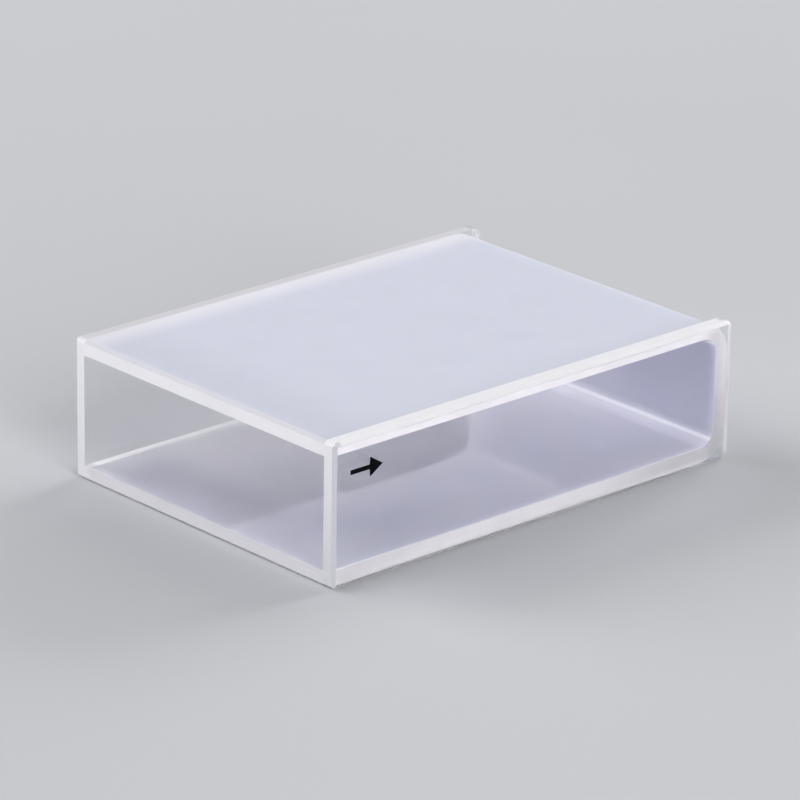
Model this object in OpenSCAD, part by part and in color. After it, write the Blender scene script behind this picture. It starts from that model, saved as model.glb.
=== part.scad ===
// Rectangular quartz spectrophotometer cell, lying on one of its two frosted sides.
// A U-shaped body (two frosted sides and the floor, formed in one piece) is closed
// by two clear window plates that are fused to its edges. Millimetres.
//
// X runs along the height of the cell: the open mouth at -X, the closed end at +X.
// Y runs along the light path: the front window at -Y, the rear window at +Y.
// Z runs up, across the two frosted sides. The origin is under the middle of the cell.

/* [Cell] */
// Outside height of the cell, from its mouth to its closed end
cell_height = 45; // [30:0.5:60]
// Outside width over the two frosted sides, which fits the cell holder
cell_width = 12.5; // [11:0.1:16]
// Light path through the sample, from window to window
path_length = 30; // [10:1:50]

/* [Walls] */
// Thickness of the formed body: both sides and the floor
wall = 1.35; // [0.9:0.05:1.8]
// Thickness of each window plate
window_thickness = 1.25; // [0.8:0.05:2]

/* [Bends and edges] */
// Outside radius of the body's two bends at the closed end
bend_outer_r = 3; // [1.5:0.1:4]
// Inside radius of the body's two bends
bend_inner_r = 1.5; // [0.6:0.1:3]
// Radius of each window plate's two corners at the closed end
corner_r = 0.8; // [0.5:0.05:1.2]
// Width of the ground bevels round each window and across the mouth
bevel = 0.3; // [0.1:0.05:0.4]

/* [Hidden] */
$fn = 64;

mouth_x = -cell_height / 2;
end_x = cell_height / 2;
mid_z = cell_width / 2;
// How far a cutting solid runs past the surface that it cuts
past = 0.1;

frosted = [0.82, 0.83, 0.88];
clear = [0.86, 0.90, 0.96, 0.45];

// Strip from x_from to x_to, half_width to each side, with both corners at x_to rounded
module round_ended_strip(x_from, x_to, half_width, r) {
    length = x_to - x_from;
    translate([x_from, -half_width])
        square([length - r, 2 * half_width]);
    translate([x_from, -half_width + r])
        square([length, 2 * (half_width - r)]);
    for (side = [-1, 1])
        translate([x_to - r, side * (half_width - r)])
            circle(r);
}

// What a bevel takes off a square edge. The edge is at the origin and the solid
// lies towards -X and -Y.
module bevel_section() {
    polygon([[-bevel - past, past], [past, past], [past, -bevel - past]]);
}

// Side view of the cell: bevelled corners at the mouth, rounded ones at the closed end
module cell_outline(end_r) {
    difference() {
        round_ended_strip(mouth_x, end_x, cell_width / 2, end_r);
        for (side = [0, 1])
            mirror([0, side])
                translate([mouth_x, cell_width / 2])
                    mirror([1, 0])
                        bevel_section();
    }
}

// Space for the sample, open at the mouth and round-cornered at the floor
module cavity_outline() {
    round_ended_strip(mouth_x - past, end_x - wall, cell_width / 2 - wall, bend_inner_r);
}

// Formed body: a strip bent twice, as long as the light path
module u_body() {
    color(frosted)
        translate([0, 0, mid_z])
            rotate([90, 0, 0])
                linear_extrude(path_length, center = true)
                    difference() {
                        cell_outline(bend_outer_r);
                        cavity_outline();
                    }
}

// Bevel along a straight edge that runs from the origin along +X, with the solid
// towards -Y and its face at Z = 0
module straight_bevel(length) {
    rotate([90, 0, 90])
        linear_extrude(length)
            bevel_section();
}

// Bevel round the outer face of a window plate, whose face is at Z = 0
module face_bevel() {
    long_run = cell_height - corner_r + past;
    for (side = [0, 1])
        mirror([0, side, 0]) {
            translate([mouth_x - past, cell_width / 2, 0])
                straight_bevel(long_run);
            translate([end_x - corner_r, cell_width / 2 - corner_r, 0])
                rotate_extrude(angle = 90)
                    translate([corner_r, 0])
                        bevel_section();
        }
    translate([end_x, cell_width / 2 - corner_r, 0])
        rotate([0, 0, -90])
            straight_bevel(cell_width - 2 * corner_r);
    translate([mouth_x, -cell_width / 2 - past, 0])
        rotate([0, 0, 90])
            straight_bevel(cell_width + 2 * past);
}

// Polished plate: its fused face at Z = 0 and its bevelled outer face at +Z
module window_plate() {
    difference() {
        linear_extrude(window_thickness)
            cell_outline(corner_r);
        translate([0, 0, window_thickness])
            face_bevel();
    }
}

// Window on the side that the light enters
module front_window() {
    color(clear)
        translate([0, -path_length / 2, mid_z])
            rotate([90, 0, 0])
                window_plate();
}

// Window on the side that the light leaves
module rear_window() {
    color(clear)
        mirror([0, 1, 0])
            translate([0, -path_length / 2, mid_z])
                rotate([90, 0, 0])
                    window_plate();
}

u_body();
front_window();
rear_window();
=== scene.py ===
# %% [markdown]
# # A fused quartz cell
# The object is a small rectangular cell that holds a liquid while light passes through it.
# It is made of fused quartz: a U-shaped body, ground dull on the outside and polished on the
# inside, and two clear window plates that are fused to the edges of the U.
# The solids come ready made from the CAD model. This lesson gives each face the finish that
# it has on the real cell, prints the small mark on one window, and lights the cell.

# %% Load the solids and measure them
import math

import bmesh
import bpy
import numpy as np
from mathutils import Matrix, Vector


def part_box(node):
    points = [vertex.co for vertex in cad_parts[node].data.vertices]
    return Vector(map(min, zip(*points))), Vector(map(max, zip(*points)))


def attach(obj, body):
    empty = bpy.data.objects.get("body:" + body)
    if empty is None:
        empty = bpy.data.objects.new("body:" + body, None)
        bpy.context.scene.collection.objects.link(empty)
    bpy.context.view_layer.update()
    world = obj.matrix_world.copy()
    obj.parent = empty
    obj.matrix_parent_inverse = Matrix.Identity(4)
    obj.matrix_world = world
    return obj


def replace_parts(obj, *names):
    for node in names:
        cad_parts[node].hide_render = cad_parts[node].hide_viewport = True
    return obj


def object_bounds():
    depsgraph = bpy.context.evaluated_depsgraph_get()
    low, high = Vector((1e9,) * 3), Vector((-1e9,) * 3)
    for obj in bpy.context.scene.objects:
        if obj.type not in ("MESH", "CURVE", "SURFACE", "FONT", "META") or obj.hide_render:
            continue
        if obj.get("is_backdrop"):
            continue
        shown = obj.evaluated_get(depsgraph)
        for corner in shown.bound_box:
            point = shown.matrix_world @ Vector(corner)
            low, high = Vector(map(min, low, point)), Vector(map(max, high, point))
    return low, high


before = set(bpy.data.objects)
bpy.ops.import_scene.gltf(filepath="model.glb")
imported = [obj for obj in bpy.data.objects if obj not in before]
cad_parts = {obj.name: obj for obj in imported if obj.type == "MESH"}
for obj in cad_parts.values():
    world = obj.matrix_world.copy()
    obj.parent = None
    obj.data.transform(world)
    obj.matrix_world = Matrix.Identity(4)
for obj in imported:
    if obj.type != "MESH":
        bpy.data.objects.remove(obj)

MM = 0.001
cad_box = [list(corner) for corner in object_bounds()]
box_low, box_high = (np.array(corner) for corner in cad_box)
print("the cell measures", np.round((box_high - box_low) / MM, 3), "mm")

# %% [markdown]
# ## The cell's own measures
# The body's edges end where the windows begin, so the body's box and the whole cell's box
# give the light path, the plates' thickness and the height of the ground faces. The wall, the
# bends and the bevels can't be read from a box, so they are written down as in the CAD source.
# Everything later is placed from these numbers, which keeps the finishes on their faces.

# %% Measures
body_low, body_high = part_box("u_body")
mouth_x, end_x = body_low.x, body_high.x
seam_y = body_high.y
window_y = box_high[1]
top_z = body_high.z
mid_z = top_z / 2
WALL = 1.35 * MM
INNER_R = 1.5 * MM
BEVEL = 0.3 * MM
bend_x = end_x - WALL - INNER_R
print(f"light path {2 * seam_y / MM:.2f} mm, windows {(window_y - seam_y) / MM:.2f} mm thick")

# %% [markdown]
# ## Small tools for materials
# A material is a little network of nodes. It could be wired by hand in the shader editor,
# one link at a time. Here one helper adds a node and fills its sockets, from numbers or from
# other nodes, so that each material below reads like a recipe. Colours are written as they
# look on a screen, from 0 to 255, and turned into the linear light that Blender works with.

# %% Colour and node helpers
def light_of(*screen):
    """Screen colour to linear light: c/12.92 near black, else ((c + 0.055)/1.055)^2.4."""
    c = np.array(screen, float) / 255
    return (*np.where(c <= 0.04045, c / 12.92, ((c + 0.055) / 1.055) ** 2.4), 1.0)


def add(tree, kind, sockets=(), **settings):
    """Adds a node and fills its sockets, each from a value or from another node's output."""
    node = tree.nodes.new("ShaderNode" + kind)
    for name, value in settings.items():
        setattr(node, name, value)
    for name, value in dict(sockets).items():
        if isinstance(value, bpy.types.NodeSocket):
            tree.links.new(value, node.inputs[name])
        else:
            node.inputs[name].default_value = value
    return node


print("quartz white is", np.round(light_of(238, 238, 244)[:3], 3))

# %% [markdown]
# ## Numbers and patterns
# A finish that changes from place to place follows from a point's X, Y and Z. A painted image
# could hold it, but it would need the faces laid out flat, and it has a fixed sharpness. So
# these helpers build sums, soft steps, blends and clouds from nodes, and the finish is worked
# out at each point.

# %% Number and pattern helpers
def math_node(tree, operation, first, *others):
    """Arithmetic on numbers or outputs. Three or more are taken in turn: a + b, then + c."""
    if not others:
        return add(tree, "Math", {0: first}, operation=operation).outputs[0]
    for other in others:
        first = add(tree, "Math", {0: first, 1: other}, operation=operation).outputs[0]
    return first


def split(tree, vector):
    """The X, Y and Z of a vector, as three outputs."""
    node = add(tree, "SeparateXYZ", {"Vector": vector})
    return node.outputs["X"], node.outputs["Y"], node.outputs["Z"]


def fade(tree, value, start, end, low=0.0, high=1.0):
    """Goes from low to high as value goes from start to end, easing in and out."""
    return add(tree, "MapRange", {"Value": value, "From Min": start, "From Max": end,
                                  "To Min": low, "To Max": high},
               interpolation_type="SMOOTHSTEP").outputs["Result"]


def mix(tree, share, first, second):
    """The first colour at share 0, the second at share 1."""
    return add(tree, "Mix", {0: share, 6: first, 7: second}, data_type="RGBA").outputs[2]


def noise(tree, place, size, detail=2.0, stretch=(1, 1, 1)):
    """Cloudy noise from 0 to 1 whose blotches are about size across, in metres."""
    scaled = add(tree, "Mapping", {"Vector": place, "Scale": stretch}).outputs[0]
    settings = {"Vector": scaled, "Scale": 1 / size, "Detail": detail}
    return add(tree, "TexNoise", settings).outputs[0]


def spread(tree, cloud, low=0.0, high=1.0):
    """Noise keeps near its middle, so 0.3 to 0.7 is stretched to go from low to high."""
    return fade(tree, cloud, 0.3, 0.7, low, high)


print("helpers:", [f.__name__ for f in (math_node, split, fade, mix, noise, spread)])

# %% [markdown]
# ## Starting and filling a material
# Every finish below starts in the same way: a Principled shader, its output, and the place of
# each point on the cell. That could be written out for each, but helpers keep the recipes
# short. The place is read from Object coordinates, which are the CAD's own metres, so a
# pattern stays where it is when the cell is turned or moved.

# %% Material helpers
QUARTZ_IOR = 1.458
# SHADE is the grey that painted shade mixes into a colour
SHADE = (0.1, 0.1, 0.12, 1)


def start_material(name):
    """A new material with its Principled shader, and each point's place on the cell."""
    material = bpy.data.materials.new(name)
    material.use_nodes = True
    tree = material.node_tree
    tree.nodes.clear()
    shader = add(tree, "BsdfPrincipled")
    output = add(tree, "OutputMaterial", {"Surface": shader.outputs[0]})
    output.is_active_output = True
    place = add(tree, "TexCoord").outputs["Object"]
    return material, tree, shader, place


def wire(tree, shader, **sockets):
    """Fills the shader's sockets. An underscore in a name stands for a space."""
    for name, value in sockets.items():
        socket = shader.inputs[name.replace("_", " ")]
        if isinstance(value, bpy.types.NodeSocket):
            tree.links.new(value, socket)
        else:
            socket.default_value = value


def shaded(tree, share, colour):
    """The colour, darkened by a share of SHADE: painted shade."""
    return mix(tree, share, colour, SHADE)


print("quartz bends light with an index of", QUARTZ_IOR)

# %% [markdown]
# ## Ground quartz
# The outside of the U and the edges of the plates are ground with fine grit. Under a
# magnifier that is a field of tiny pits, which scatter light and look white. The pits could
# be modelled as a mesh, but they are a few hundredths of a millimetre wide, so a bump from
# fine noise stands for them. Slow clouds in the colour keep a wide face from looking printed,
# and a little light is let into the wall, because ground quartz is milky and not chalky.

# %% The ground surface
GRIT = 0.06 * MM
COARSE_GRIND, FINE_GRIND = 0.5, 0.35  # strength of the pits on faces and on edges
CLOUD_TONE, SPECKLE_TONE = (0.25, 0.26, 0.34, 1), (0.35, 0.36, 0.42, 1)
MILK_DEPTH = 2.5 * MM


def ground_look(tree, shader, place, colour, grind=COARSE_GRIND):
    """Colour with slow clouds and fine speckle, a dull surface and a bump of tiny pits."""
    clouds = noise(tree, place, 6 * MM, 3)
    speckle = noise(tree, place, GRIT, 1)
    clouded = mix(tree, spread(tree, clouds, 0, 0.045), colour, CLOUD_TONE)
    specked = mix(tree, fade(tree, speckle, 0.35, 0.65, 0, 0.05), clouded, SPECKLE_TONE)
    pits = add(tree, "Bump", {"Height": speckle, "Strength": grind, "Distance": GRIT / 6})
    wire(tree, shader, Base_Color=specked, Normal=pits.outputs[0],
         Roughness=spread(tree, clouds, 0.52, 0.62), IOR=QUARTZ_IOR)


def milky(shader):
    """Lets light wander about MILK_DEPTH inside the wall before it comes out again."""
    shader.inputs["Subsurface Weight"].default_value = 1.0
    shader.inputs["Subsurface Radius"].default_value = (0.92, 0.96, 1.0)
    shader.inputs["Subsurface Scale"].default_value = MILK_DEPTH


def make_frosted():
    """The wide outer faces: pale lavender, whiter towards the rear joint with painted light and
    a little darker towards the mouth with painted shade. The milkiness ends just before a joint,
    where the clear plate begins."""
    material, tree, shader, place = start_material("frosted_quartz_face")
    x, y, _ = split(tree, place)
    # painted light: whiter towards the rear joint
    rear_glow = fade(tree, y, seam_y - 3.4 * MM, seam_y + 0.6 * MM, 0, 0.75)
    lavender = mix(tree, rear_glow, light_of(205, 207, 219), light_of(240, 238, 243))
    # painted shade: a little darker towards the mouth
    mouth_shade = fade(tree, x, mouth_x, mouth_x + 9 * MM, 0.08, 0)
    ground_look(tree, shader, place, shaded(tree, mouth_shade, lavender))
    milky(shader)
    off_joint = math_node(tree, "SUBTRACT", seam_y, math_node(tree, "ABSOLUTE", y))
    wire(tree, shader, Subsurface_Weight=fade(tree, off_joint, 0.1 * MM, 2 * MM))
    return material


frosted = make_frosted()
print("ground faces:", frosted.name)

# %% [markdown]
# ## Ground edges
# The plates' edges and the rim of the mouth are ground too, but they are thin, and light that
# enters a clear plate reaches them from behind. An opaque white would leave the plates' ends
# dark when they are seen through the plate. Full glass with a rough back would be right, but
# slow and full of noise. So a share of each edge scatters the light that comes through it,
# most of all at the closed end. Painted shade makes the edges a little darker at the foot,
# where the floor takes their light, and along the rear plate's top.

# %% Ground edges
EDGE_SHARE, END_SHARE = 0.08, 0.58  # of light let through, and the same at the closed end
# DARKEST_FOOT and DARKEST_TOP are the largest shares of painted shade, at the foot and on the
# rear plate's top
DARKEST_FOOT, DARKEST_TOP = 0.22, 0.33


def let_through(tree, shader, colour, share):
    """Mixes in a share of light that comes through from behind, scattered."""
    back_lit = add(tree, "BsdfTranslucent", {"Color": colour})
    both = add(tree, "MixShader", {0: share, 1: shader.outputs[0], 2: back_lit.outputs[0]})
    tree.links.new(both.outputs[0], tree.get_output_node("ALL").inputs["Surface"])


def foot_shade(tree, y, z):
    """Share of painted shade on an edge: DARKEST_FOOT at the foot and 0 at the top, less on the
    rear plate, and none on the lowest twentieth of a millimetre."""
    return math_node(tree, "MULTIPLY", fade(tree, z, 0, top_z, DARKEST_FOOT, 0),
                     fade(tree, y, seam_y - 1 * MM, seam_y, 1, 0.4),
                     fade(tree, z, 0.05 * MM, 0.3 * MM))


def make_mouth_rim():
    """The ground rim of the U's mouth, a little darker towards the foot with painted shade."""
    material, tree, shader, place = start_material("ground_quartz_rim")
    _, y, z = split(tree, place)
    # painted shade towards the foot
    painted_shading = shaded(tree, foot_shade(tree, y, z), light_of(249, 248, 252))
    ground_look(tree, shader, place, painted_shading, FINE_GRIND)
    return material


def make_plate_edge():
    """The plates' ground edges, with painted shade at the foot and along the top towards the
    rear, and lit from behind in their last millimetre at the closed end."""
    material, tree, shader, place = start_material("ground_plate_edge")
    x, y, z = split(tree, place)
    # painted shade along the plates' top, most on the rear plate
    rear_top_shade = math_node(tree, "MULTIPLY", fade(tree, y, 0, seam_y, 0.1, DARKEST_TOP),
                         fade(tree, z, top_z - WALL, top_z - BEVEL),
                         fade(tree, x, mouth_x, mouth_x + 0.5 * MM))
    white = light_of(250, 249, 253)
    shade = math_node(tree, "ADD", foot_shade(tree, y, z), rear_top_shade)
    ground_look(tree, shader, place, shaded(tree, shade, white), FINE_GRIND)
    at_end = fade(tree, x, end_x - 1.2 * MM, end_x - 0.7 * MM, EDGE_SHARE, END_SHARE)
    let_through(tree, shader, white, at_end)
    return material


mouth_rim, plate_edge = make_mouth_rim(), make_plate_edge()
print("ground edges:", mouth_rim.name, plate_edge.name)

# %% [markdown]
# ## Bevels
# Every outer edge is broken by a narrow ground bevel, so that it doesn't chip. Light passes
# from the bevels into the plates. If they were opaque, each would throw a thin dark line on
# the white joint behind it. So they let a share through, and those at the foot and at the
# closed end are almost as clear as glass.

# %% Bevels
BEVEL_SHARE = 0.26  # of light let through from behind
NEARLY_CLEAR = 0.9
BEVEL_WHITE = light_of(253, 252, 254)


def make_rim_bevel():
    """The bevels across the mouth of the U, whiter at the foot than at the top, as painted light
    and shade.
    """
    material, tree, shader, place = start_material("rim_bevel")
    z = split(tree, place)[2]
    # painted light at the foot and painted shade at the top
    painted_shading = mix(tree, fade(tree, z, BEVEL, 3 * BEVEL), BEVEL_WHITE, light_of(218, 217, 225))
    ground_look(tree, shader, place, painted_shading, FINE_GRIND)
    return material


def make_plate_bevel():
    """The plates' bevels: ground at the top and at the mouth, and nearly clear elsewhere."""
    material, tree, shader, place = start_material("plate_bevel")
    x, _, z = split(tree, place)
    at_top = fade(tree, z, top_z - 3 * BEVEL, top_z - 2 * BEVEL)
    at_mouth = fade(tree, x, mouth_x + 2 * BEVEL, mouth_x + 3 * BEVEL, 1, 0)
    # greyer at the mouth: painted shade
    white = mix(tree, at_mouth, BEVEL_WHITE, light_of(224, 224, 232))
    ground_look(tree, shader, place, white, FINE_GRIND)
    ground_part = math_node(tree, "MAXIMUM", at_top, at_mouth)
    wire(tree, shader, Transmission_Weight=fade(tree, ground_part, 0, 1, NEARLY_CLEAR, 0))
    let_through(tree, shader, white, BEVEL_SHARE)
    return material


rim_bevel, plate_bevel = make_rim_bevel(), make_plate_bevel()
print("bevels:", rim_bevel.name, plate_bevel.name)

# %% [markdown]
# ## The polished inside of the U
# Seen from inside, each wall is polished quartz over the ground outer skin: a milky colour
# under a sharp gloss. At the rear joint the eye looks through the polish at the fused edge,
# which shows as a white stripe a bit under a millimetre wide. At the front joint only a thin
# soft edge of it shows, and a faint painted glow lies beside each joint. Part of the way round
# each bend a painted highlight, a white line, shows where the folded wall gathers light. A
# clear solid with a white back would show all this by itself, but slowly and with much noise,
# so here it is part of the colour.

# %% White lines, painted glow and painted highlight inside
FOLD_ANGLE = math.radians(51)
STRIPE_STARTS, STRIPE_FULL = 0.85 * MM, 0.7 * MM  # distances from the rear joint


def joint_stripes_and_glow(tree, x, y):
    """Share of white beside the joints: the larger of a wide faint painted glow and the stripes.
    """
    off_front = math_node(tree, "ADD", y, seam_y)
    # painted glow: a faint whitening beside each joint
    glow = math_node(tree, "ADD", fade(tree, off_front, 2 * MM, 12 * MM, 0.08, 0),
                     fade(tree, y, seam_y - 6 * MM, seam_y - 0.8 * MM, 0, 0.36))
    rear_stripe = fade(tree, y, seam_y - STRIPE_STARTS, seam_y - STRIPE_FULL)
    front_stripe = math_node(tree, "MULTIPLY", fade(tree, off_front, 0, 0.35 * MM, 1, 0),
                             fade(tree, x, bend_x, bend_x + INNER_R / 2, 1, 0.1))
    stripes = math_node(tree, "ADD", rear_stripe, front_stripe)
    return math_node(tree, "MAXIMUM", glow, stripes)


def fold_highlight(tree, x, z):
    """Share of painted highlight in each bend: a white line with a halo at FOLD_ANGLE round the
    bend's centre, where the angle of a point is atan2(along, up)."""
    along = math_node(tree, "MAXIMUM", math_node(tree, "SUBTRACT", x, bend_x), 0)
    from_middle = math_node(tree, "ABSOLUTE", math_node(tree, "SUBTRACT", z, mid_z))
    up = math_node(tree, "SUBTRACT", from_middle, mid_z - WALL - INNER_R)
    angle = math_node(tree, "ARCTAN2", along, up)
    off_line = math_node(tree, "ABSOLUTE", math_node(tree, "SUBTRACT", angle, FOLD_ANGLE))
    # painted highlight: a white line with a halo where the bend gathers light
    halo = fade(tree, off_line, math.radians(4), math.radians(35), 0.25, 0)
    line = fade(tree, off_line, math.radians(2), math.radians(13), 0.9, 0)
    return math_node(tree, "MAXIMUM", halo, line)


print("the white line lies", round(math.degrees(FOLD_ANGLE)), "degrees round each bend")

# %% [markdown]
# ## The milk behind the polish
# The milky colour isn't even, and its changes are painted light and shade. It is lighter
# towards the closed end and towards the rear window, where light has bounced off more white
# walls, and in a spot in the middle of the floor, lit through the mouth. Painted shade makes it
# greyer on the end wall itself. The gloss is weaker near the mouth and just inside the front
# joint. The bounces in the render give only part of this. So a few plain colours are mixed by
# place, with slow clouds over them.

# %% Inside finish
# AT_MOUTH, AT_CLOSED_END, TOWARDS_REAR and END_WALL are mixed by place as painted light and
# shade
AT_MOUTH, AT_CLOSED_END = light_of(196, 196, 209), light_of(216, 215, 227)
TOWARDS_REAR, END_WALL = light_of(242, 241, 247), light_of(140, 139, 160)
MILK_CLOUD, JOINT_AND_HIGHLIGHT_WHITE = light_of(150, 152, 172), light_of(246, 246, 251)
SPOT_X = -10 * MM


def milk_and_painted_light(tree, place, x, y):
    """Painted light and shade over the milk: mouth colour to closed-end colour along X, then
    towards the rear colour along Y and in a spot of light round SPOT_X, painted shade towards
    the end wall's colour past the start of the bends, then clouds."""
    # painted light: lighter from the mouth towards the closed end
    milk = mix(tree, fade(tree, x, -15 * MM, 15 * MM), AT_MOUTH, AT_CLOSED_END)
    # painted light: a spot in the middle of the floor, lit through the mouth
    off_spot = math_node(tree, "ABSOLUTE", math_node(tree, "ADD", x, -SPOT_X))
    spot = math_node(tree, "MULTIPLY", fade(tree, off_spot, 3 * MM, 8 * MM, 0.35, 0),
                     fade(tree, y, -9 * MM, 0))
    # painted light: lighter towards the rear window, where light bounces off white walls
    gather = math_node(tree, "ADD", fade(tree, x, -22 * MM, -14 * MM, 0.2, 1),
                       fade(tree, x, 4 * MM, 12 * MM, 0, 0.35))
    deep = math_node(tree, "MULTIPLY", gather, fade(tree, y, -9 * MM, 3 * MM, 0, 0.5))
    milk = mix(tree, math_node(tree, "ADD", deep, spot), milk, TOWARDS_REAR)
    along = math_node(tree, "SUBTRACT", x, bend_x)
    # painted shade: greyer on the end wall
    milk = mix(tree, fade(tree, along, 0.8 * MM, INNER_R, 0, 0.52), milk, END_WALL)
    clouds = noise(tree, place, 7 * MM, 3)
    return mix(tree, spread(tree, clouds, 0, 0.06), milk, MILK_CLOUD)


def make_inside():
    """Milk with painted light and shade under a sharp gloss, white where the joints are, with a
    painted glow beside them and a painted highlight in the folds.
    """
    material, tree, shader, place = start_material("polished_quartz_inside")
    x, y, z = split(tree, place)
    # the joint stripes, a painted glow beside them and a painted highlight in each bend
    white = math_node(tree, "MAXIMUM", joint_stripes_and_glow(tree, x, y), fold_highlight(tree, x, z))
    colour = mix(tree, white, milk_and_painted_light(tree, place, x, y), JOINT_AND_HIGHLIGHT_WHITE)
    off_front = math_node(tree, "ADD", y, seam_y)
    polish = math_node(tree, "MULTIPLY", fade(tree, x, -19 * MM, -2 * MM, 0.2, 1),
                       fade(tree, off_front, 0.3 * MM, 1 * MM))
    wipes = noise(tree, place, 2 * MM)
    wire(tree, shader, Base_Color=colour, Roughness=spread(tree, wipes, 0.02, 0.06),
         IOR=QUARTZ_IOR, Coat_Weight=polish)
    milky(shader)
    return material


inside = make_inside()
print("inside finish:", inside.name)

# %% [markdown]
# ## Clear polished quartz
# Both faces of each window are polished until they can't be seen, except where they mirror
# the room. A faint see-through tint would be quick, but it wouldn't bend light or mirror
# anything, so one Principled shader with full transmission does this. A perfect surface looks
# false, so the polish varies very slightly, as it does after a wipe with a lens tissue.

# %% Window finish
CLEAR_TINT = (0.985, 0.988, 1.0, 1.0)


def make_clear():
    """Full transmission, a trace of blue, and the faintest wipe marks in the gloss."""
    material, tree, shader, place = start_material("clear_quartz_window")
    wipes = noise(tree, place, 3 * MM, 2, stretch=(0.35, 1, 1.4))
    wire(tree, shader, Base_Color=CLEAR_TINT, Transmission_Weight=1.0, IOR=QUARTZ_IOR,
         Roughness=fade(tree, wipes, 0.35, 0.75, 0.0, 0.012))
    return material


clear = make_clear()
print("window finish:", clear.name)

# %% [markdown]
# ## The fused joints
# Where the U meets a window, heat has welded ground quartz to polished quartz. The joint is a
# white U-shaped band, seen through the clear plate. It could be a thin piece of its own, but
# it is the end face of the U itself, so it only needs a finish: white, softly clouded, with a
# few pinhead bubbles in the weld. Painted shade makes the lower run of the band greyer than the
# upper one, most of all near its two ends, and the part at the closed end greyer too.

# %% Joint finish
BUBBLE_APART = 1.1 * MM
BUBBLE_EDGE = 0.03, 0.07  # where a bubble starts and ends to fade, in parts of BUBBLE_APART


def joint_shade(tree, x, z):
    """Share of painted shade: the foot's by place along X, times its fade upwards and its start
    just over the floor, plus a little under the top run, plus the closed end's."""
    by_place = math_node(tree, "ADD", fade(tree, x, mouth_x, -8 * MM, 0.28, 0.13),
                         fade(tree, x, 5 * MM, 18 * MM, 0, 0.28))
    by_place = math_node(tree, "SUBTRACT", by_place, fade(tree, x, 19 * MM, 21 * MM, 0, 0.12))
    foot = math_node(tree, "MULTIPLY", by_place, fade(tree, z, 0, top_z, 1, 0),
                     fade(tree, z, 0, 0.5 * MM, 0.3, 1))
    under_top = fade(tree, z, top_z - 1.2 * MM, top_z - 0.6 * MM, 0.075, 0)
    at_end = fade(tree, x, end_x - 3 * MM, end_x - 1.2 * MM, 0, 0.22)
    return math_node(tree, "ADD", foot, under_top, at_end)


def make_joint():
    """White with soft milky clouds. Space is divided into small uneven cells, and there is a
    pinhead bubble where a point is close to the middle of its cell."""
    material, tree, shader, place = start_material("fused_quartz_joint")
    x, _, z = split(tree, place)
    clouds = noise(tree, place, 3 * MM, 2)
    white = mix(tree, spread(tree, clouds), light_of(250, 246, 249), light_of(244, 240, 243))
    cells = add(tree, "TexVoronoi", {"Vector": place, "Scale": 1 / BUBBLE_APART})
    bubble = fade(tree, cells.outputs["Distance"], *BUBBLE_EDGE, 0.25, 0)
    spotted = mix(tree, bubble, white, light_of(200, 202, 214))
    # painted shade: greyer along the lower run and at the closed end, and a little everywhere
    # below the top run
    painted_shading = shaded(tree, joint_shade(tree, x, z), spotted)
    wire(tree, shader, Base_Color=painted_shading, Roughness=0.5, IOR=QUARTZ_IOR)
    return material


joint = make_joint()
print("joint finish:", joint.name)

# %% [markdown]
# ## Which face of the U gets which finish
# The solid arrives with one material. A face's finish follows from where it is and which way
# it looks, so whole arrays of centres and normals are compared at once, and each face is
# pointed at one of the slots. Nothing moves: only the choice of material changes.

# %% Faces of the U
SQUARE_ON, SLANTED, SIDEWAYS = 0.9, 0.5, 0.1  # how far a face's normal points along an axis


def face_centres_and_normals(mesh):
    """Two arrays, one row for each face."""
    centres, normals = np.empty(len(mesh.polygons) * 3), np.empty(len(mesh.polygons) * 3)
    mesh.polygons.foreach_get("center", centres)
    mesh.polygons.foreach_get("normal", normals)
    return centres.reshape(-1, 3), normals.reshape(-1, 3)


def dress(mesh, materials, choice):
    """Gives the mesh these materials, and each face the one that its number in choice names."""
    mesh.materials.clear()
    for material in materials:
        mesh.materials.append(material)
    mesh.polygons.foreach_set("material_index", choice.astype(np.int32))
    mesh.update()
    print({m.name: int((choice == i).sum()) for i, m in enumerate(materials)})


u_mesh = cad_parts["u_body"].data
centres, normals = face_centres_and_normals(u_mesh)
slack = 0.05 * MM  # allows for rounding of a face's centre
at_joint = abs(normals[:, 1]) > SQUARE_ON
at_rim = (normals[:, 0] < -SQUARE_ON) & (centres[:, 0] < mouth_x + BEVEL)
at_bevel = (normals[:, 0] < -SLANTED) & (centres[:, 0] < mouth_x + BEVEL)
in_cavity = ((abs(centres[:, 2] - mid_z) < mid_z - WALL + slack)
             & (centres[:, 0] < end_x - WALL + slack))
dress(u_mesh, [frosted, inside, mouth_rim, joint, rim_bevel],
      np.select([at_joint, at_rim, at_bevel, in_cavity], [3, 2, 4, 1], 0))

# %% [markdown]
# ## A tool for lofted pieces
# A window plate and the printed mark have one outline that is carried along a path, so one
# helper makes them. It takes the rings of points as one array, joins each ring to the next,
# closes both ends, merges points that fall together, and turns every face outwards.

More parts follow.
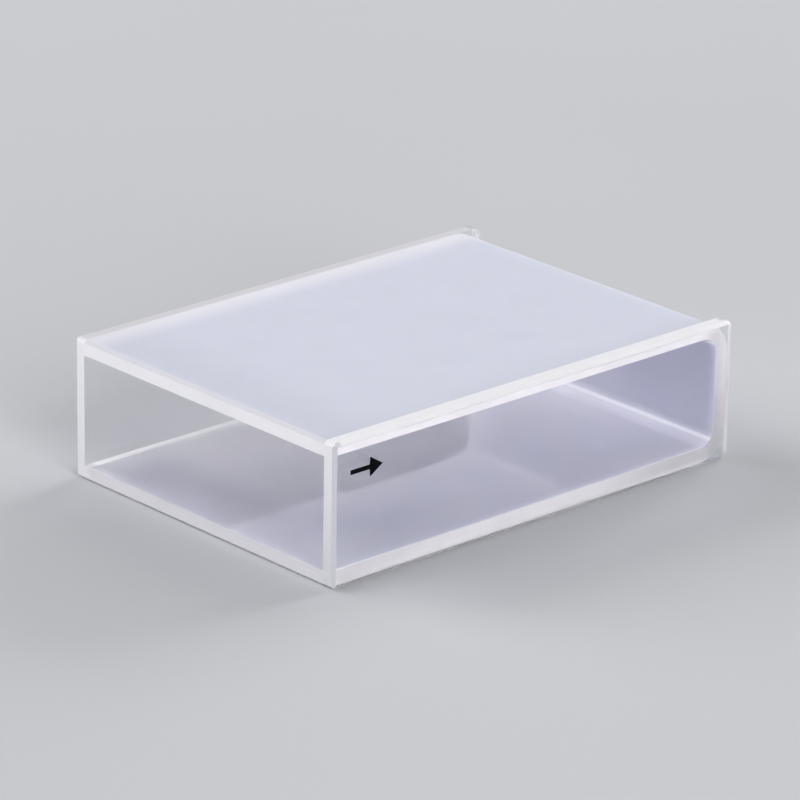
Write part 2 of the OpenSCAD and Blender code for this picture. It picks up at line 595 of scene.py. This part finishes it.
# %% Loft helper
def loft(name, rings, smooth_below=30):
    """A closed skin through rings[i, j], point j of ring i: quads between rings, flat ends.
    Edges that turn less than smooth_below degrees are shaded round."""
    count, around = rings.shape[:2]
    index = np.arange(count * around).reshape(count, around)
    turned = np.roll(index, -1, axis=1)
    quads = np.stack([index[:-1], turned[:-1], turned[1:], index[1:]], axis=-1).reshape(-1, 4)
    mesh = bpy.data.meshes.new(name)
    mesh.from_pydata(rings.reshape(-1, 3), [],
                     quads.tolist() + [index[0, ::-1].tolist(), index[-1].tolist()])
    work = bmesh.new()
    work.from_mesh(mesh)
    bmesh.ops.remove_doubles(work, verts=work.verts, dist=1e-4 * MM)
    bmesh.ops.recalc_face_normals(work, faces=work.faces)
    work.to_mesh(mesh)
    work.free()
    mesh.shade_smooth()
    mesh.set_sharp_from_angle(angle=math.radians(smooth_below))
    piece = bpy.data.objects.new(name, mesh)
    bpy.context.scene.collection.objects.link(piece)
    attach(piece, "root")
    print(name, len(mesh.vertices), "points,", len(mesh.polygons), "faces")
    return piece


# %% [markdown]
# ## The window plates
# Each window is a flat plate with a ground bevel round its outer face and two rounded corners
# at the closed end. The solid has this shape, but its inner face lies in one plane with the
# U's end faces, and two faces in one plane flicker. So a plate of the same outline stands for
# it, and leaves a gap of a few thousandths of a millimetre in front of the white joint. The
# flat faces are clear, the edges are ground, and the bevels let some light through.

# %% Window plates
CORNER_R = 0.8 * MM
WELD_GAP = 0.004 * MM


def plate_outline(inset):
    """Outline of a plate, pushed in by inset. A corner at the closed end is an arc
    centre + (radius - inset) * (cos a, sin a). A corner at the mouth is cut off square to
    its diagonal while the push is under half the bevel, and after that it is a point."""
    arc = np.radians(np.linspace(90, 0, 13))
    arc_x = end_x - CORNER_R + (CORNER_R - inset) * np.cos(arc)
    arc_up = mid_z - CORNER_R + (CORNER_R - inset) * np.sin(arc)
    cut = max(BEVEL - inset, inset)
    x = np.concatenate([[mouth_x + cut], arc_x, arc_x[::-1], [mouth_x + cut]])
    up = np.concatenate([[mid_z - inset], arc_up, -arc_up[::-1], [inset - mid_z]])
    x = np.concatenate([x, [mouth_x + inset] * 2])
    return x, np.concatenate([up, [cut - mid_z, mid_z - cut]]) + mid_z


def window_plate(name, side):
    """The outline at four depths: the welded face, the bevel's start, its middle and its end."""
    depths = [seam_y + WELD_GAP, window_y - BEVEL, window_y - BEVEL / 2, window_y]
    insets = [0, 0, BEVEL / 2, BEVEL]
    rings = []
    for depth, inset in zip(depths, insets):
        x, z = plate_outline(inset)
        rings.append(np.stack([x, np.full_like(x, side * depth), z], axis=-1))
    plate = loft(name, np.array(rings))
    facing = abs(face_centres_and_normals(plate.data)[1][:, 1])
    dress(plate.data, [clear, plate_edge, plate_bevel],
          np.select([facing > SQUARE_ON, facing < SIDEWAYS], [0, 1], 2))
    return plate


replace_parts(window_plate("front_plate", -1), "front_window")
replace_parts(window_plate("rear_plate", 1), "rear_window")

# %% [markdown]
# ## The beam mark
# One window carries a small black print near the mouth, so that the cell always goes into its
# holder the same way round. Here it is a plain arrow. It is fired enamel, two hundredths of a
# millimetre thick. Its half width is a function of the length along it, so it is a loft too:
# a narrow shaft that steps out to the head and closes at the tip.

# %% Arrow
ARROW_LENGTH, HEAD_LENGTH = 3.4 * MM, 1.35 * MM
SHAFT_HALF, HEAD_HALF, TIP_HALF = 0.2 * MM, 0.85 * MM, 0.02 * MM
RAKE = 0.05 * MM  # how far the head's shoulders lean towards the tip


def arrow_rings(x_tail, z_middle, y_back, y_front):
    """Flat boxes carried along X. The half width is the shaft's up to the head, steps out to
    the head's, and then falls in a straight line to almost nothing at the tip."""
    neck = ARROW_LENGTH - HEAD_LENGTH
    along = np.array([0, neck, neck + RAKE, ARROW_LENGTH])
    half = np.array([SHAFT_HALF, SHAFT_HALF, HEAD_HALF, TIP_HALF])
    across = np.array([-1, -1, 1, 1])
    z = z_middle + half[:, None] * across
    x = np.broadcast_to((x_tail + along)[:, None], z.shape)
    y = np.broadcast_to([y_back, y_front, y_front, y_back], z.shape)
    return np.stack([x, y, z], axis=-1)


def make_enamel():
    """Matte black enamel, a shade greyer where the print is thin."""
    material, tree, shader, place = start_material("black_enamel")
    thin = noise(tree, place, 0.25 * MM, 3)
    black = mix(tree, fade(tree, thin, 0.4, 0.8), light_of(3, 3, 6), light_of(13, 13, 17))
    wire(tree, shader, Base_Color=black, Roughness=spread(tree, thin, 0.32, 0.5),
         Specular_IOR_Level=0.05)
    return material


INK = 0.02 * MM
TAIL_X, MARK_Z = mouth_x + 1.7 * MM, 9.7 * MM
beam_mark = loft("beam_mark", arrow_rings(TAIL_X, MARK_Z, -window_y + INK / 10,
                                          -window_y - INK))
beam_mark.data.materials.append(make_enamel())

# %% [markdown]
# ## Floor
# The cell lies on a plain pale card. It could be a bare plane of one grey, but then it would
# look like a cut-out, so its grey drifts a little from place to place. It is matte: a glossy
# floor would mirror the room into the clear windows.

# %% Floor
FLOOR_HALF = 3.0
UNDER_CELL = 0.02 * MM  # keeps the floor and the cell's lower face apart


def make_floor():
    """A wide square of pale grey card, just under the cell."""
    half = FLOOR_HALF
    corners = [(-half, -half), (half, -half), (half, half), (-half, half)]
    mesh = bpy.data.meshes.new("floor")
    mesh.from_pydata([(x, y, -UNDER_CELL) for x, y in corners], [], [(0, 1, 2, 3)])
    material, tree, shader, place = start_material("pale_floor")
    clouds = noise(tree, place, 120 * MM, 2)
    grey = mix(tree, spread(tree, clouds), light_of(190, 191, 195), light_of(193, 194, 198))
    wire(tree, shader, Base_Color=grey, Roughness=0.8, Specular_IOR_Level=0.1)
    mesh.materials.append(material)
    floor = bpy.data.objects.new("floor", mesh)
    bpy.context.scene.collection.objects.link(floor)
    floor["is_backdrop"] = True
    print("floor:", 2 * FLOOR_HALF, "m square")


make_floor()

# %% [markdown]
# ## Lamps
# Four soft boxes light the cell: one in front and one behind it, both turned a little towards
# the mouth, and two off the closed end, high and low. Together they give about the light in
# which white paper looks white, so each finish shows in its own colour. A single dome of sky
# would be simpler, but it lights every side alike, and the shape goes flat. The lamps are
# kept out of the camera's view and of the gloss, as a polarising filter does in a studio,
# because ground quartz seen at a low angle would otherwise turn white with glare.

# %% Lamps
REACH = 1.8  # metres from the cell to each lamp


def add_soft_box(name, azimuth, elevation, width, height, watts):
    """An area light that looks at the middle of the cell from REACH away. Azimuth 0 is in
    front of the front window, and 90 is off the closed end."""
    turn, rise = math.radians(azimuth), math.radians(elevation)
    place = REACH * Vector((math.sin(turn) * math.cos(rise), -math.cos(turn) * math.cos(rise),
                            math.sin(rise)))
    light = bpy.data.lights.new(name, "AREA")
    light.shape, light.size, light.size_y, light.energy = "RECTANGLE", width, height, watts
    lamp = bpy.data.objects.new(name, light)
    lamp.visible_camera = lamp.visible_glossy = False
    bpy.context.scene.collection.objects.link(lamp)
    aim = Vector((0, 0, mid_z)) - place
    turned = aim.to_track_quat("-Z", "Y").to_matrix().to_4x4()
    lamp.matrix_world = Matrix.Translation(place) @ turned
    print(name, "at", np.round(place, 2), "m,", watts, "W")


add_soft_box("front_soft_box", -16, 24, 0.6, 1.5, 29.1)
add_soft_box("rear_soft_box", -155, 24, 0.9, 1.5, 33.5)
add_soft_box("end_soft_box", 100, 44, 1.2, 1.2, 9)
add_soft_box("low_end_soft_box", 90, 20, 1.2, 0.6, 19)

# %% [markdown]
# ## Room
# Polished quartz shows the room round it. A picture of a real room could be wrapped round the
# scene, but it would bring its own colours and patterns. This room is a plain gradient: pale
# where its wall meets the floor, dim from a little above that, and slightly paler overhead.
# So what the polished inside mirrors through the windows is soft, from pale to dim.

# %% Room and render settings
ROOM_TINT = (0.97, 0.98, 1.0, 1.0)
FOOT_LIGHT, WALL_LIGHT, OVERHEAD_LIGHT = 0.45, 0.04, 0.08


def make_room():
    """Brightness by the height of a direction, where 0 is level and 1 is straight up."""
    world = bpy.data.worlds.new("pale_room")
    world.use_nodes = True
    tree = world.node_tree
    height = split(tree, add(tree, "TexCoord").outputs["Generated"])[2]
    wall = fade(tree, height, 0.03, 0.24, FOOT_LIGHT, WALL_LIGHT)
    overhead = fade(tree, height, 0.65, 0.95, 0, OVERHEAD_LIGHT)
    level = math_node(tree, "ADD", wall, overhead)
    background = tree.nodes["Background"]
    background.inputs["Color"].default_value = ROOM_TINT
    tree.links.new(level, background.inputs["Strength"])
    bpy.context.scene.world = world


make_room()
bpy.context.scene.cycles.diffuse_bounces = 8  # light bounces often inside a white box
bpy.context.scene.cycles.blur_glossy = 0  # and the sharp gloss stays sharp
bpy.context.scene.view_settings.view_transform = "Standard"

# %% [markdown]
# ## Camera
# The camera looks down at the corner of the mouth and the front window through a long lens,
# which keeps the cell's edges nearly parallel. Its place follows from two angles and a
# distance, and a last small angle turns it about its own line of sight.

# %% Camera
AZIMUTH, ELEVATION, ROLL = map(math.radians, (-42.661, 20.808, 0.904))
DISTANCE, LENS = 430.34 * MM, 230.29
AIM = Vector((-0.284, 0.366, 6.0)) * MM


def camera_axes():
    """Right, up and back of a camera turned by azimuth, elevation and roll."""
    back = Vector((math.sin(AZIMUTH) * math.cos(ELEVATION),
                   -math.cos(AZIMUTH) * math.cos(ELEVATION), math.sin(ELEVATION)))
    right = Vector((0, 0, 1)).cross(back).normalized()
    up = back.cross(right)
    turned_right = math.cos(ROLL) * right + math.sin(ROLL) * up
    return turned_right, back.cross(turned_right), back


right, up, back = camera_axes()
camera = bpy.data.objects.new("camera", bpy.data.cameras.new("camera"))
camera.data.lens = LENS
camera.matrix_world = (Matrix.Translation(AIM + back * DISTANCE)
                       @ Matrix((right, up, back)).transposed().to_4x4())
bpy.context.scene.collection.objects.link(camera)
bpy.context.scene.camera = camera
print("camera at", np.round(camera.matrix_world.translation, 4))

# %% [markdown]
# ## The size after dressing
# The dressed cell must still be the size of the solids, so both boxes are measured and the
# largest change between them is printed.

# %% Size
visual_box = [list(corner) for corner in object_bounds()]
change = np.abs(np.array(visual_box) - np.array(cad_box)).max()
print("largest change of the box:", np.round(change / MM, 3), "mm")
